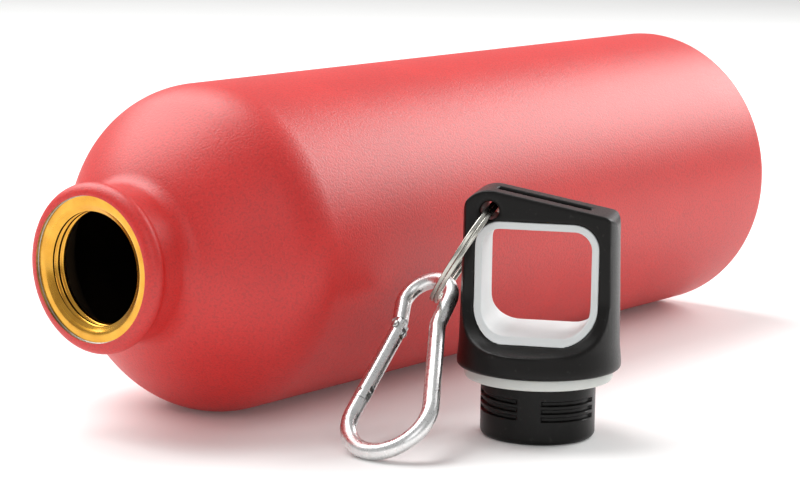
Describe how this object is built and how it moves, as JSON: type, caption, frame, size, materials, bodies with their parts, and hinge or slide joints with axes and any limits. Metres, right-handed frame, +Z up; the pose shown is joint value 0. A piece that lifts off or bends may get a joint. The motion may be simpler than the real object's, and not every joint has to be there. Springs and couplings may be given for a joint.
{
  "type": "canteen",
  "caption": "Aluminium drinking bottle lying on its side, with its threaded screw cap standing beside it; the cap's handle carries a split ring and a spring-gate carabiner.",
  "frame": {"origin": "middle of the footprint of the whole set, on the floor", "axes": "+Z up, +X along the bottle's axis from mouth to base, +Y from the cap towards the bottle"},
  "size_m": [0.2214, 0.1226, 0.073],
  "materials": {
    "powder_coat": "matte powder coat, gold lacquer inside the mouth",
    "cap_plastic": "satin moulded",
    "liner": "matte",
    "plug_plastic": "satin moulded",
    "gasket": "matte, slightly translucent",
    "ring_steel": "nickel plated",
    "carabiner_aluminium": "polished",
    "pin_steel": "bright",
    "plunger_brass": "bright"
  },
  "bodies": {
    "bottle": {"bottle_shell": "powder_coat"},
    "gasket": {"gasket": "gasket"},
    "cap": {"cap_shell": "cap_plastic", "grip_liner": "liner", "thread_plug": "plug_plastic"},
    "split_ring": {"split_ring": "ring_steel"},
    "carabiner": {"carabiner_frame": "carabiner_aluminium", "gate_hinge_pin": "pin_steel"},
    "gate": {"gate": "carabiner_aluminium", "gate_latch_pin": "pin_steel", "gate_spring": "pin_steel", "spring_plunger": "plunger_brass"}
  },
  "joints": [
    {"name": "cap_lift", "type": "slide", "parent": "bottle", "child": "gasket", "axis": [0, 0, 1], "range_m": [0, 0.08]},
    {"name": "cap_turn", "type": "hinge", "parent": "gasket", "child": "cap", "pos_m": [-0.04344, -0.04368, 0], "axis": [0, 0, 1], "range_deg": [0, 220]},
    {"name": "ring_swing", "type": "hinge", "parent": "cap", "child": "split_ring", "pos_m": [-0.04784, -0.03426, 0.049], "axis": [0.9058, 0.4237, 0], "range_deg": [0, 7]},
    {"name": "carabiner_swing", "type": "hinge", "parent": "split_ring", "child": "carabiner", "pos_m": [-0.0566, -0.0274, 0.027], "axis": [0.7202, 0.3542, 0.5965], "range_deg": [0, 60]},
    {"name": "gate_open", "type": "hinge", "parent": "carabiner", "child": "gate", "pos_m": [-0.06146, -0.01944, 0.0224], "axis": [-0.6536, 0.0326, 0.7562], "range_deg": [0, 25], "stiffness_Nm_per_rad": 0.01, "springref_deg": -17.19}
  ]
}
